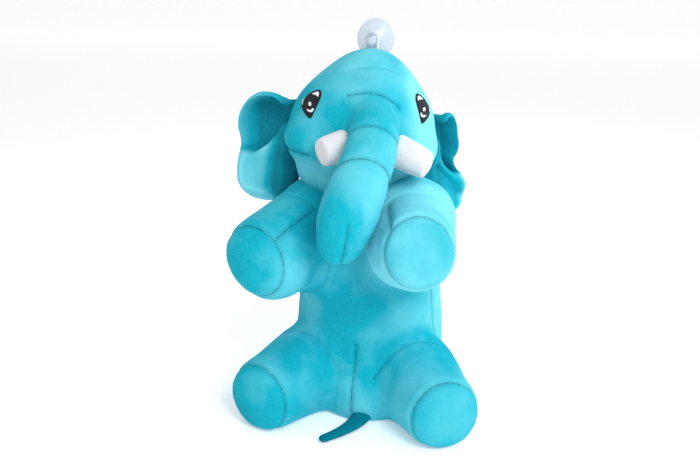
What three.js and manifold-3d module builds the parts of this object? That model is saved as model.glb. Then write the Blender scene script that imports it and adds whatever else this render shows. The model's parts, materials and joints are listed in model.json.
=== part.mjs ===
// A stuffed elephant that sits on a flat rump with its legs stretched forward.
// Millimetres, +Z up. The toy faces -Y, its own left side is +X, and it sits on z = 0.
// Every moving limb has a ball-shaped root in a socket of its neighbour, so that it can swing
// about the middle of that ball. Sewn covers are thin shells around a solid of stuffing.
import * as THREE from 'three';
import { mergeVertices } from 'three/addons/utils/BufferGeometryUtils.js';
import Module from 'manifold-3d';

const wasm = await Module();
wasm.setup();

// ---- driving dimensions ----
const PILE = 2.6;             // thickness of the plush cover, pile and backing
const GAP = 0.4;              // space between sewn neighbours
const CLEARANCE = 1.2;        // space around a limb's ball in its socket
const SIDES = 18;             // facets around a limb
const ROUND = 24;             // facets around the torso and the head
const SOCKET_SIDES = 14;      // facets around the room that a limb moves in
const HUGE = 400;             // larger than the toy, for cutting blocks
const EGG = 0.88;             // depth of the torso as a share of its width

const BELLY_HALF_ANGLE = 70;  // the side seams stand this far round from the front, in degrees
const NECK = { at: [-8, -4, 178], ball: 24, turn: 18, roll: 7 };
const HEAD = { half: [54, 55, 48], middle: [0, -3, 44] };
const CROWN_STRIP = 20;       // half the width of the strip that runs into the trunk
const CHIN_SEAM = 16;         // height of the chin seam above the neck pivot
const NAPE_SEAM = 24;         // how far behind the neck pivot the back panel starts

const TRUNK = { radius: 19, ball: 20.5, swing: 8, room: 60, range: [-6, 45] };
const TUSK = { root: 11.5, tip: 9, length: 25, buried: 8, at: [19, -53, 27], aim: [16, -8, -5] };
const EYE = { width: 18, height: 23, turn: 56, lift: 3, lean: 6, under: 0.35, over: 1.5 };
const EAR = { thickness: 13, root: [54, 11, -6], sweep: 30, groove: 110 };
const TAIL = { radius: 6, at: [13, -45, 7], room: 40 };

const FORELEG = { ball: 27, pad: 24.5, length: 73, dome: 6, range: [-35, 16] };
const HINDLEG = { ball: 28, pad: 24, length: 75, dome: 6, range: [-3, 22] };
const SHOULDER = [36, -28, 139];
const HIP = [34, -21, 24.5];
const FORELEG_AIM = { left: [13, 6], right: [-20, -5] };   // turn outwards and lift, in degrees
const HINDLEG_AIM = { left: [30, 0], right: [-23, 0] };

const CUP = { at: [-2, 27, 277], radius: 15.5, hollow: 6, wall: 1.8 };
const KNOB = { radius: 5.6, height: 3.4, neck: 2.4, shaft: 5.4 };
const LOOP = { thread: 0.9, clearance: 0.5, drop: 16, straight: 6, spread: 1 };

const PLUSH = { color: 0x1fbdd6, roughness: 0.95, metalness: 0 };
const SHADED_PLUSH = { color: 0x179db4, roughness: 0.95, metalness: 0 };
const WHITE_PLUSH = { color: 0xe8eaee, roughness: 0.9, metalness: 0 };
const EMBROIDERY = { color: 0x20242b, roughness: 0.6, metalness: 0 };
const FIBREFILL = { color: 0xf4f4f0, roughness: 1, metalness: 0 };
const SOFT_PVC = { color: 0xc9dbe8, roughness: 0.15, metalness: 0 };
const WHITE_CORD = { color: 0xf2f2f2, roughness: 0.8, metalness: 0 };

const radians = THREE.MathUtils.degToRad;

// ---- solids ----
function solid(geometry) {
  const bare = geometry.index ? geometry.toNonIndexed() : geometry.clone();
  bare.deleteAttribute('normal');
  bare.deleteAttribute('uv');
  const merged = mergeVertices(bare, 1e-4);
  return new wasm.Manifold(new wasm.Mesh({
    numProp: 3,
    vertProperties: new Float32Array(merged.attributes.position.array),
    triVerts: new Uint32Array(merged.index.array),
  }));
}

function geometryOf(manifold) {
  const mesh = manifold.getMesh();
  const geometry = new THREE.BufferGeometry();
  geometry.setAttribute('position', new THREE.BufferAttribute(mesh.vertProperties, 3));
  geometry.setIndex(new THREE.BufferAttribute(mesh.triVerts, 1));
  return geometry;
}

function ball(radius, at = [0, 0, 0], sides = ROUND) {
  return solid(new THREE.SphereGeometry(radius, sides, sides / 2).rotateX(Math.PI / 2).translate(...at));
}

function ellipsoid(half, at, sides = ROUND) {
  const round = new THREE.SphereGeometry(1, sides, sides / 2).rotateX(Math.PI / 2);
  return solid(round.scale(...half).translate(...at));
}

function block(low, high) {
  const size = high.map((value, k) => value - low[k]);
  const middle = high.map((value, k) => (value + low[k]) / 2);
  return solid(new THREE.BoxGeometry(...size).translate(...middle));
}

// Turns a profile of [radius, height] points about +Z. It runs upwards along the outside.
function turned(profile, sides = SIDES) {
  const points = profile.map(([radius, height]) => new THREE.Vector2(radius, height));
  return new THREE.LatheGeometry(points, sides).rotateX(Math.PI / 2);
}

function prism(outline, low, high) {
  const shape = new THREE.Shape(outline.map(([x, y]) => new THREE.Vector2(x, y)));
  const geometry = new THREE.ExtrudeGeometry(shape, { depth: high - low, bevelEnabled: false });
  return geometry.translate(0, 0, low);
}

function tube(path, radius, steps, sides = 16) {
  const section = new THREE.Shape().absarc(0, 0, radius, 0, 2 * Math.PI);
  const options = { steps, curveSegments: sides / 2, bevelEnabled: false, extrudePath: path };
  return solid(new THREE.ExtrudeGeometry(section, options));
}

function piece(name, shape, finish) {
  const geometry = shape.isBufferGeometry ? shape : geometryOf(shape);
  const mesh = new THREE.Mesh(geometry, new THREE.MeshStandardMaterial(finish));
  mesh.name = name;
  return mesh;
}

const mirrored = (side, [x, y, z]) => [side === 'left' ? x : -x, y, z];
const signOf = (side) => (side === 'left' ? 1 : -1);

// ---- legs: along local -Y from the ball at the origin ----
function legProfile(leg, inset, rootShare) {
  const { ball: root, pad, length } = leg;
  const start = -rootShare * (root - inset);
  return [
    [Math.sqrt((root - inset) ** 2 - start ** 2), start],
    [root - inset, 0],
    [root * 0.98 - inset, length * 0.35],
    [pad + 0.8 - inset, length * 0.85],
    [pad - inset, length - GAP / 2],
  ];
}

// A profile whose height runs along -Y when turned.
function alongLeg(profile, sides) {
  return turned(profile, sides).rotateX(Math.PI / 2);
}

function legCover(leg) {
  const outside = legProfile(leg, 0, 0.45);
  const inside = legProfile(leg, PILE, 0.45).reverse();
  return solid(alongLeg([...outside, ...inside, outside[0]]));
}

function domed(pad, dome, length, inset) {
  const heights = [0, 0.75, 1];
  return heights.map((share) => [
    Math.max(0, (pad - inset) * Math.sqrt(1 - share ** 2)),
    length + share * dome - inset,
  ]);
}

function legPad({ pad, dome, length }) {
  const front = domed(pad, dome, length + GAP, 0);
  const back = domed(pad - PILE - GAP, dome - 1, length + GAP, 0).map(([r, h]) => [r, h - PILE + 1]);
  const rim = [back[0][0], front[0][1]];
  return alongLeg([[0, back.at(-1)[1]], ...back.slice(0, -1).reverse(), rim, ...front]);
}

function legStuffing(leg) {
  const inset = PILE + GAP;
  const radius = leg.ball - inset;
  const around = [-90, -60, -30].map(radians);
  const rear = around.map((a) => [Math.max(0, radius * Math.cos(a)), radius * Math.sin(a)]);
  rear[0][0] = 0;
  const sleeve = legProfile(leg, inset, 0).slice(1, -1);
  const front = [[leg.pad - inset - 2, leg.length - PILE], [0, leg.length - PILE]];
  return solid(alongLeg([...rear, ...sleeve, ...front]));
}

function leg(name, sizes, pivot, aim, floor) {
  const group = new THREE.Group();
  group.position.set(...pivot);
  group.rotation.set(radians(-aim[1]), 0, radians(aim[0]), 'ZYX');
  const outwards = Math.sign(pivot[0]);
  const resting = block([-HUGE, -HUGE, -pivot[2] + floor], [HUGE, HUGE, HUGE]);
  const onFloor = (shape) => (floor === null ? shape : shape.intersect(resting));
  const outer = block([GAP / 2, -HUGE, -HUGE], [HUGE, HUGE, HUGE]);
  const inner = block([-HUGE, -HUGE, -HUGE], [-GAP / 2, HUGE, HUGE]);
  const cover = onFloor(legCover(sizes));
  const [plusX, minusX] = [cover.intersect(outer), cover.intersect(inner)];
  group.add(piece(`${name}_outer_cover`, outwards > 0 ? plusX : minusX, PLUSH));
  group.add(piece(`${name}_inner_cover`, outwards > 0 ? minusX : plusX, SHADED_PLUSH));
  group.add(piece(`${name}_pad`, onFloor(solid(legPad(sizes))), PLUSH));
  group.add(piece(`${name}_stuffing`, onFloor(legStuffing(sizes)), FIBREFILL));
  return group;
}

// The radius of a faceted socket whose flats stay clear of a ball.
function roomFor(radius) {
  return (radius + CLEARANCE) / Math.cos(Math.PI / SOCKET_SIDES);
}

// The room that a leg sweeps: its ball, and its sleeve at both ends of its range.
function legSocket(sizes, pivot, aim, axis) {
  const [low, high] = sizes.range;
  const outwards = Math.sign(pivot[0]);
  const radius = roomFor(sizes.ball);
  let socket = ball(radius, pivot, SOCKET_SIDES);
  for (const angle of [low, high]) {
    const turn = axis === 'z' ? aim[0] + outwards * angle : aim[0];
    const lift = axis === 'z' ? aim[1] : aim[1] + angle;
    const sleeve = new THREE.CylinderGeometry(radius, radius, sizes.length, SOCKET_SIDES);
    sleeve.translate(0, -sizes.length / 2, 0).rotateX(radians(-lift)).rotateZ(radians(turn));
    socket = socket.add(solid(sleeve.translate(...pivot)));
  }
  return socket;
}

// ---- torso ----
const TORSO_PROFILE = [
  [37, 0], [49, 6], [55, 30], [56, 58], [53, 92], [46, 124], [36, 150], [26, 163],
];

function torsoSolid(inset) {
  const rows = TORSO_PROFILE.map(([r, z], k) => [r - inset, k === 0 ? inset : z]);
  rows[rows.length - 1][1] -= inset;
  const closed = [[0, rows[0][1]], ...rows, [0, rows.at(-1)[1]]];
  return solid(turned(closed, ROUND).scale(1, EGG, 1));
}

// A wedge of space between two directions, in degrees from +X, clear of its neighbours.
function wedge(from, to) {
  const [a, b] = [radians(from), radians(to)];
  const outline = [[0, 0]];
  for (let k = 0; k <= 4; k += 1) {
    const angle = a + ((b - a) * k) / 4;
    outline.push([HUGE * Math.cos(angle), HUGE * Math.sin(angle)]);
  }
  const shift = GAP / 2 / Math.sin((b - a) / 2);
  const middle = (a + b) / 2;
  return solid(prism(outline, -HUGE, HUGE).translate(shift * Math.cos(middle), shift * Math.sin(middle), 0));
}

function torso() {
  let room = ball(NECK.ball + CLEARANCE, NECK.at);
  for (const side of ['left', 'right']) {
    room = room.add(legSocket(FORELEG, mirrored(side, SHOULDER), FORELEG_AIM[side], 'x'));
    room = room.add(legSocket(HINDLEG, mirrored(side, HIP), HINDLEG_AIM[side], 'z'));
  }
  room = room.add(tailSocket());
  const cover = torsoSolid(0).subtract(torsoSolid(PILE)).subtract(room);
  const front = -90;
  const side = BELLY_HALF_ANGLE;
  const group = new THREE.Group();
  group.add(piece('belly_panel_left', cover.intersect(wedge(front, front + side)), PLUSH));
  group.add(piece('belly_panel_right', cover.intersect(wedge(front - side, front)), PLUSH));
  group.add(piece('back_panel_left', cover.intersect(wedge(front + side, front + 180)), SHADED_PLUSH));
  group.add(piece('back_panel_right', cover.intersect(wedge(front - 180, front - side)), SHADED_PLUSH));
  group.add(piece('torso_stuffing', torsoSolid(PILE + GAP).subtract(room), FIBREFILL));
  return group;
}

// ---- tail: lies forward on the floor between the hind legs ----
const TAIL_PATH = new THREE.CatmullRomCurve3(
  [[0, 0, 0], [3.5, -16, 0], [-3, -37, -0.4], [-15, -49, -0.5], [-26, -56, -0.5]]
    .map((p) => new THREE.Vector3(...p)),
);

function tail() {
  const end = TAIL_PATH.points.at(-1).toArray();
  const group = new THREE.Group();
  group.position.set(...TAIL.at);
  const round = ball(TAIL.radius, [0, 0, 0], 10).add(ball(TAIL.radius, end, 10));
  group.add(piece('tail', tube(TAIL_PATH, TAIL.radius, 8, 10).add(round), SHADED_PLUSH));
  return group;
}

function tailSocket() {
  const room = roomFor(TAIL.radius);
  const straight = new THREE.CylinderGeometry(room, room, TAIL.room, SOCKET_SIDES);
  straight.translate(0, -TAIL.room / 2, 0).translate(...TAIL.at);
  return ball(room, TAIL.at, SOCKET_SIDES).add(solid(straight));
}

// ---- head: local frame at the neck pivot, facing -Y ----
const TRUNK_ROOT = [-2, -45, 46];
const TRUNK_POINTS = [
  [0, 2, 1], [-1, -13, -3], [-6, -38, -23], [-12, -49, -46], [-15, -50, -63], [-16, -48, -72],
];

function headSolid(inset) {
  const skull = ellipsoid(HEAD.half.map((h) => h - inset), HEAD.middle);
  return skull.add(ball(NECK.ball - inset));
}

function aboutTrunkRoot(angle) {
  const place = new THREE.Matrix4().makeTranslation(...TRUNK_ROOT);
  const turn = new THREE.Matrix4().makeRotationZ(radians(TRUNK.swing - NECK.turn));
  const swing = new THREE.Matrix4().makeRotationX(radians(-angle));
  const back = turn.clone().invert();
  return place.multiply(turn).multiply(swing).multiply(back);
}

const TRUNK_PATH = new THREE.CatmullRomCurve3(TRUNK_POINTS.map((p) => new THREE.Vector3(...p)));

function trunkSocket() {
  const radius = roomFor(TRUNK.radius);
  let room = ball(roomFor(TRUNK.ball), TRUNK_ROOT, SOCKET_SIDES);
  const first = new THREE.Vector3(...TRUNK_POINTS[1]).normalize();
  for (const angle of [TRUNK.range[0], 0, TRUNK.range[1] / 2, TRUNK.range[1]]) {
    const sleeve = new THREE.CylinderGeometry(radius, radius, TRUNK.room, SOCKET_SIDES);
    sleeve.translate(0, TRUNK.room / 2, 0);
    sleeve.applyQuaternion(new THREE.Quaternion().setFromUnitVectors(new THREE.Vector3(0, 1, 0), first));
    room = room.add(solid(sleeve.applyMatrix4(aboutTrunkRoot(angle))));
  }
  return room;
}

// An almond of sewn thread that lies on the curve of the head.
function eye(side) {
  const { width, height } = EYE;
  const almond = new THREE.Shape();
  almond.moveTo(width * 0.45, height * 0.5);
  almond.quadraticCurveTo(-width * 0.75, height * 0.35, -width * 0.15, -height * 0.5);
  almond.quadraticCurveTo(width * 0.85, -height * 0.35, width * 0.45, height * 0.5);
  const column = new THREE.ExtrudeGeometry(almond, { depth: HUGE, curveSegments: 6, bevelEnabled: false });
  column.rotateX(Math.PI / 2).rotateX(radians(-EYE.lean));
  if (side === 'left') column.scale(-1, 1, 1);
  column.rotateZ(radians(signOf(side) * EYE.turn)).translate(...HEAD.middle).translate(0, 0, EYE.lift);
  const flipped = side === 'left' ? reversed(column) : column;
  const grown = (extra) => ellipsoid(HEAD.half.map((h) => h + extra), HEAD.middle);
  return grown(EYE.over).subtract(grown(EYE.under)).intersect(solid(flipped));
}

function reversed(geometry) {
  const turnedOver = geometry.index ? geometry.toNonIndexed() : geometry.clone();
  const position = turnedOver.attributes.position;
  for (let k = 0; k < position.count; k += 3) {
    const [a, b] = [k, k + 2].map((i) => new THREE.Vector3().fromBufferAttribute(position, i));
    position.setXYZ(k, b.x, b.y, b.z);
    position.setXYZ(k + 2, a.x, a.y, a.z);
  }
  return turnedOver;
}

function tusk(side) {
  const { root, tip, length, buried } = TUSK;
  const profile = [
    [0, -buried], [root, -buried], [root, length * 0.16],
    [tip * 1.09, length * 0.72], [tip * 0.83, length * 0.92], [0, length],
  ];
  const along = new THREE.Vector3(...mirrored(side, TUSK.aim)).normalize();
  const geometry = turned(profile, 12);
  geometry.applyQuaternion(new THREE.Quaternion().setFromUnitVectors(new THREE.Vector3(0, 0, 1), along));
  geometry.translate(...mirrored(side, TUSK.at));
  const face = ellipsoid(HEAD.half.map((h) => h + GAP), HEAD.middle);
  const beside = TRUNK.ball + CLEARANCE;
  const middle = block([TRUNK_ROOT[0] - beside, -HUGE, -HUGE], [TRUNK_ROOT[0] + beside, HUGE, HUGE]);
  return solid(geometry).subtract(face).subtract(middle);
}

function trunk() {
  const end = TRUNK_POINTS.at(-1);
  const whole = (inset) => tube(TRUNK_PATH, TRUNK.radius - inset, 8, 14)
    .add(ball(TRUNK.ball - inset, [0, 0, 0], 14))
    .add(ball(TRUNK.radius - inset, end, 14));
  const cover = whole(0).subtract(whole(PILE));
  const line = TRUNK_PATH.getSpacedPoints(12).map((p) => [p.y, p.z]);
  line.unshift([40, 1]);
  line.push([line.at(-1)[0] + 10, -HUGE]);
  const over = [...line, [-HUGE, -HUGE], [-HUGE, HUGE], [40, HUGE]];
  const under = [...line, [HUGE, -HUGE], [HUGE, 1]];
  const half = (outline, shift) => solid(
    prism(outline, -HUGE, HUGE).rotateZ(Math.PI / 2).rotateY(Math.PI / 2).translate(0, -shift, shift),
  );
  const group = new THREE.Group();
  group.position.set(...TRUNK_ROOT);
  group.add(piece('trunk_upper_cover', cover.intersect(half(over, GAP / 2)), PLUSH));
  group.add(piece('trunk_under_cover', cover.intersect(half(under, -GAP / 2)), SHADED_PLUSH));
  group.add(piece('trunk_stuffing', whole(PILE + GAP), FIBREFILL));
  return group;
}

// ---- ears: local X runs out from the hinge line, local Z up ----
function ear(side) {
  const sign = signOf(side);
  const outline = new THREE.Shape();
  outline.moveTo(-0.5, 46);
  outline.bezierCurveTo(8, 61, 38, 60, 41, 38);
  outline.bezierCurveTo(46, 20, 40, 8, 44, -2);
  outline.bezierCurveTo(46, -24, 20, -29, 1, -24);
  outline.lineTo(-0.5, -20);
  const bevel = EAR.thickness / 4;
  const options = { depth: EAR.thickness - 2 * bevel, curveSegments: 6, bevelSegments: 2 };
  Object.assign(options, { bevelThickness: bevel, bevelSize: bevel, bevelOffset: -bevel });
  const pad = new THREE.ExtrudeGeometry(outline, options).translate(0, 0, bevel - EAR.thickness / 2);
  const whole = solid(pad.rotateX(Math.PI / 2));
  const front = block([-HUGE, -HUGE, -HUGE], [HUGE, -GAP / 2, HUGE]);
  const back = block([-HUGE, GAP / 2, -HUGE], [HUGE, HUGE, HUGE]);
  const group = new THREE.Group();
  group.position.set(...mirrored(side, EAR.root));
  group.rotation.z = sign > 0 ? radians(EAR.sweep) : Math.PI - radians(EAR.sweep);
  const [near, far] = sign > 0 ? [front, back] : [back, front];
  group.add(piece(`ear_${side}_front`, whole.intersect(near), PLUSH));
  group.add(piece(`ear_${side}_back`, whole.intersect(far), SHADED_PLUSH));
  return group;
}

// The groove down the side of the head that an ear's rounded root turns in.
function earGroove(side) {
  const radius = roomFor(EAR.thickness / 2);
  const column = new THREE.CylinderGeometry(radius, radius, EAR.groove, SOCKET_SIDES).rotateX(Math.PI / 2);
  return solid(column.translate(...mirrored(side, EAR.root)).translate(0, 0, HEAD.middle[2] / 2));
}

function head() {
  const room = trunkSocket().add(earGroove('left')).add(earGroove('right'));
  const cover = headSolid(0).subtract(headSolid(PILE)).subtract(room);
  const below = (height) => block([-HUGE, -HUGE, -HUGE], [HUGE, HUGE, height]);
  const above = (height) => block([-HUGE, -HUGE, height], [HUGE, HUGE, HUGE]);
  const before = (depth) => block([-HUGE, -HUGE, -HUGE], [HUGE, depth, HUGE]);
  const behind = (depth) => block([-HUGE, depth, -HUGE], [HUGE, HUGE, HUGE]);
  const between = (low, high) => block([low, -HUGE, -HUGE], [high, HUGE, HUGE]);
  const chin = cover.intersect(below(CHIN_SEAM - GAP / 2));
  const upper = cover.intersect(above(CHIN_SEAM + GAP / 2));
  const face = upper.intersect(before(NAPE_SEAM - GAP / 2));
  const strip = CROWN_STRIP;
  const group = new THREE.Group();
  group.position.set(...NECK.at);
  group.rotation.set(0, radians(NECK.roll), radians(NECK.turn), 'ZYX');
  group.add(piece('chin_panel', chin, SHADED_PLUSH));
  group.add(piece('nape_panel', upper.intersect(behind(NAPE_SEAM + GAP / 2)), SHADED_PLUSH));
  group.add(piece('crown_strip', face.intersect(between(-strip, strip)), PLUSH));
  group.add(piece('cheek_panel_left', face.intersect(between(strip + GAP, HUGE)), PLUSH));
  group.add(piece('cheek_panel_right', face.intersect(between(-HUGE, -strip - GAP)), PLUSH));
  group.add(piece('head_stuffing', headSolid(PILE + GAP).subtract(room), FIBREFILL));
  for (const side of ['left', 'right']) {
    group.add(piece(`eye_${side}`, eye(side), EMBROIDERY));
    group.add(piece(`tusk_${side}`, tusk(side), WHITE_PLUSH));
    group.add(ear(side));
  }
  group.add(trunk());
  return group;
}

// ---- suction cup and the loop that holds it: the cup opens towards +Y ----
function suctionCup() {
  const { radius, hollow, wall } = CUP;
  const { radius: knob, height, neck, shaft } = KNOB;
  const back = -hollow - wall;
  const profile = [
    [0, -hollow], [radius * 0.39, -hollow * 0.86], [radius * 0.68, -hollow * 0.42],
    [radius * 0.84, 0], [radius, 0], [radius, -wall / 2],
    [radius * 0.71, -hollow * 0.42 - wall * 1.3], [radius * 0.42, back + 0.6], [neck + 0.6, back],
    [neck, back - 0.6], [neck, back - shaft], [knob, back - shaft - 0.3],
    [knob, back - shaft - height * 0.6], [knob * 0.64, back - shaft - height], [0, back - shaft - height],
  ];
  const group = new THREE.Group();
  group.position.set(...CUP.at);
  group.add(piece('suction_cup', turned(profile.reverse(), 20).rotateX(-Math.PI / 2), SOFT_PVC));
  return group;
}

function hangingLoop(headPlace) {
  const middle = -CUP.hollow - CUP.wall - KNOB.shaft / 2;
  const reach = KNOB.neck + LOOP.clearance + LOOP.thread;
  const { drop, straight, spread } = LOOP;
  const points = [[-reach - spread, -drop], [-reach, -straight], [-reach, 0]];
  for (const angle of [135, 90, 45]) {
    points.push([reach * Math.cos(radians(angle)), reach * Math.sin(radians(angle))]);
  }
  points.push([reach, 0], [reach, -straight], [reach + spread, -drop]);
  const path = new THREE.CatmullRomCurve3(points.map(([x, z]) => new THREE.Vector3(x, middle, z)));
  const skull = new THREE.SphereGeometry(1, 32, 16).rotateX(Math.PI / 2);
  skull.scale(...HEAD.half.map((h) => h + GAP)).translate(...HEAD.middle).applyMatrix4(headPlace);
  skull.translate(...CUP.at.map((value) => -value));
  const group = new THREE.Group();
  group.position.set(...CUP.at);
  group.add(piece('hanging_loop', tube(path, LOOP.thread, 20, 8).subtract(solid(skull)), WHITE_CORD));
  return group;
}

// ---- the whole toy, moved so that the middle of its base is the origin ----
const toy = new THREE.Group();
const headGroup = head();
headGroup.updateMatrix();
toy.add(torso(), headGroup, tail(), suctionCup(), hangingLoop(headGroup.matrix));
for (const side of ['left', 'right']) {
  toy.add(leg(`foreleg_${side}`, FORELEG, mirrored(side, SHOULDER), FORELEG_AIM[side], null));
  toy.add(leg(`hindleg_${side}`, HINDLEG, mirrored(side, HIP), HINDLEG_AIM[side], 0));
}
toy.updateMatrixWorld(true);
const extent = new THREE.Box3().setFromObject(toy);
const centre = extent.getCenter(new THREE.Vector3());
toy.position.set(-centre.x, -centre.y, -extent.min.z);

export default toy;
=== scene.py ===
# %% [markdown]
# # A stuffed elephant
# The toy is sewn from short-pile plush and packed with fibre. The frame below holds its real sizes
# and its joints, and each piece is modelled around those, in metres, where it belongs.

# %% Frame
import json
import math

import bmesh
import bpy
import numpy as np
from mathutils import Matrix, Vector, noise
from mathutils.bvhtree import BVHTree


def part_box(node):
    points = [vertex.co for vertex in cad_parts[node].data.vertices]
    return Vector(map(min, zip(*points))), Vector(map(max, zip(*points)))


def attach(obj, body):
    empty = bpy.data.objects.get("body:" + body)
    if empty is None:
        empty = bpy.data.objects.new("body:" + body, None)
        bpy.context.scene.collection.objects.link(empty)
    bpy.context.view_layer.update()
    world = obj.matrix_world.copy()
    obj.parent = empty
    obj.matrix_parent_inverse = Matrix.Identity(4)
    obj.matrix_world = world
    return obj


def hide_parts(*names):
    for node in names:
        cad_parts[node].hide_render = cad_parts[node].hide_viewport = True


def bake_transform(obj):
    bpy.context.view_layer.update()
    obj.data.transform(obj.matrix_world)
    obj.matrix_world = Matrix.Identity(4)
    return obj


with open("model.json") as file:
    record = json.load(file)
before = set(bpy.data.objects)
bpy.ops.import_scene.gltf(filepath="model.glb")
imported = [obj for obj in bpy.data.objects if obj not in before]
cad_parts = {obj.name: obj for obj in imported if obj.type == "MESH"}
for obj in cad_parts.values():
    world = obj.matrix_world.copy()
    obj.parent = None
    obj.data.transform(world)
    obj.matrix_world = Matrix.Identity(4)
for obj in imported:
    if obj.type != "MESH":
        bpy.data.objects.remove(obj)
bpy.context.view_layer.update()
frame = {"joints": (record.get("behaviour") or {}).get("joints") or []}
scene = bpy.context.scene
MM = 0.001
joints = {joint["name"]: joint for joint in frame["joints"]}


def pivot(joint):
    """The point that a joint turns about."""
    return Vector(joints[joint]["pos_m"])


def middle(node):
    """The middle of a CAD node's box."""
    low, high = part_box(node)
    return (Vector(low) + Vector(high)) / 2


# %% [markdown]
# ## Camera and light
# The toy is seen from a little above and a little to its left, from close by, so that the forelegs
# look larger than the hind legs. One broad lamp high on the right gives the soft shine on the pile,
# a weaker one stands behind the toy on the same side, and the room is pale.

# %% Camera
AXIS = Vector((0.0074, 0.0312, 0))          # where the body's own middle line meets the table
AIM = AXIS + Vector((-0.0156, -0.003, 0.127))
VIEW_TURN, VIEW_LIFT, VIEW_DISTANCE = math.radians(13), math.radians(17), 0.645
VIEW_WIDTH = 0.78 * 700 * MM                # what the picture spans at the toy
towards = Vector((
    math.sin(VIEW_TURN) * math.cos(VIEW_LIFT),
    -math.cos(VIEW_TURN) * math.cos(VIEW_LIFT),
    math.sin(VIEW_LIFT),
))
camera = bpy.data.objects.new("camera", bpy.data.cameras.new("camera"))
scene.collection.objects.link(camera)
camera.location = AIM + towards * VIEW_DISTANCE
camera.rotation_euler = (-towards).to_track_quat("-Z", "Y").to_euler()
camera.data.sensor_width = 36
camera.data.lens = 36 * VIEW_DISTANCE / VIEW_WIDTH
scene.camera = camera
scene.view_settings.view_transform = "Standard"

# %% Light and floor


def lamp(name, place, size, power, colour=(1, 1, 1)):
    light = bpy.data.lights.new(name, "AREA")
    light.size, light.energy, light.color = size, power, colour
    holder = bpy.data.objects.new(name, light)
    scene.collection.objects.link(holder)
    holder.location = AXIS + Vector(place)
    aim = AXIS + Vector((0, 0, 0.14)) - holder.location
    holder.rotation_euler = aim.to_track_quat("-Z", "Y").to_euler()


lamp("key", (0.55, -0.75, 0.8), 0.5, 8)
lamp("rim", (0.7, 0.45, 0.6), 0.5, 3)

world = bpy.data.worlds.new("pale_room")
world.use_nodes = True
world.node_tree.nodes["Background"].inputs["Color"].default_value = (1, 1, 1, 1)
world.node_tree.nodes["Background"].inputs["Strength"].default_value = 0.68
scene.world = world


def backdrop():
    """A pale sheet that lies flat under the toy and curves up behind it."""
    bm = bmesh.new()
    steps = [math.radians(a) for a in range(0, 91, 10)]
    bend = [(4 + 0.6 * math.sin(a), 0.6 - 0.6 * math.cos(a)) for a in steps]
    rail = [(-3, 0)] + bend + [(4.6, 3.4)]
    for across in (-4, 4):
        row = [bm.verts.new((across, y, z)) for y, z in rail]
        for a, b in zip(row, row[1:]):
            bm.edges.new((a, b))
    bmesh.ops.bridge_loops(bm, edges=bm.edges[:])
    mesh = bpy.data.meshes.new("floor")
    bm.to_mesh(mesh)
    for face in mesh.polygons:
        face.use_smooth = True
    return bpy.data.objects.new("floor", mesh)


floor = backdrop()
scene.collection.objects.link(floor)
paper = bpy.data.materials.new("paper")
paper.use_nodes = True
paper_shader = paper.node_tree.nodes["Principled BSDF"]
paper_shader.inputs["Base Color"].default_value = (0.98, 0.98, 0.98, 1)
paper_shader.inputs["Roughness"].default_value = 0.9
paper_shader.inputs["Emission Color"].default_value = (1, 1, 1, 1)
paper_shader.inputs["Emission Strength"].default_value = 0.22
floor.data.materials.append(paper)

# %% [markdown]
# ## Helpers for shaping
# A turned profile makes legs, tusks and the cup. A lump is a stretched ball of stuffing. Several
# lumps and limbs that overlap are kneaded into one skin by a voxel remesh and a few rounds of
# smoothing, which leaves the soft hollows that a sewn toy has where its limbs begin.

# %% Helpers
STUFFING_PRESSURE = 4.0
STUFFING_FRAMES = 14                        # steps of the cloth


def piece(name, bm):
    """Puts a bmesh in the scene as an object of that name."""
    mesh = bpy.data.meshes.new(name)
    bm.to_mesh(mesh)
    bm.free()
    mesh.polygons.foreach_set("use_smooth", [True] * len(mesh.polygons))
    made = bpy.data.objects.new(name, mesh)
    scene.collection.objects.link(made)
    return made


def turned(bm, profile, place=Matrix(), steps=32):
    """Spins a profile of (radius, height) in millimetres about Z, then puts it in its place."""
    before = set(bm.verts)
    line = [bm.verts.new((r * MM, 0, h * MM)) for r, h in profile]
    edges = [bm.edges.new(pair) for pair in zip(line, line[1:])]
    bmesh.ops.spin(
        bm, geom=line + edges, cent=(0, 0, 0), axis=(0, 0, 1), angle=2 * math.pi, steps=steps, use_merge=True
    )
    made = [v for v in bm.verts if v not in before]
    bmesh.ops.remove_doubles(bm, verts=made, dist=1e-6)
    made = [v for v in bm.verts if v not in before]
    bmesh.ops.transform(bm, matrix=place, verts=made)


def lump(bm, centre, half, place=Matrix()):
    """A ball of stuffing, stretched to half sizes in millimetres."""
    shape = Matrix.Translation(Vector(centre) * MM) @ Matrix.Diagonal((*[h * MM for h in half], 1))
    bmesh.ops.create_uvsphere(bm, u_segments=32, v_segments=20, radius=1, matrix=place @ shape)


def coordinates(mesh):
    found = np.empty(len(mesh.vertices) * 3)
    mesh.vertices.foreach_get("co", found)
    return found.reshape(-1, 3)


def normals(mesh):
    found = np.empty(len(mesh.vertices) * 3)
    mesh.vertices.foreach_get("normal", found)
    return found.reshape(-1, 3)


def settle(obj):
    """Replaces an object's mesh with what its modifiers make of it."""
    graph = bpy.context.evaluated_depsgraph_get()
    made = bpy.data.meshes.new_from_object(obj.evaluated_get(graph))
    obj.modifiers.clear()
    obj.data = made


def knead(obj, voxel, rounds):
    """Joins overlapping lumps into one skin and softens the hollows between them."""
    remesh = obj.modifiers.new("knead", "REMESH")
    remesh.mode, remesh.voxel_size = "VOXEL", voxel * MM
    settle(obj)
    bm = bmesh.new()
    bm.from_mesh(obj.data)
    for _ in range(rounds):
        bmesh.ops.smooth_vert(
            bm, verts=bm.verts, factor=0.5, use_axis_x=True, use_axis_y=True, use_axis_z=True
        )
    bmesh.ops.recalc_face_normals(bm, faces=bm.faces)
    bm.to_mesh(obj.data)
    bm.free()


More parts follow.
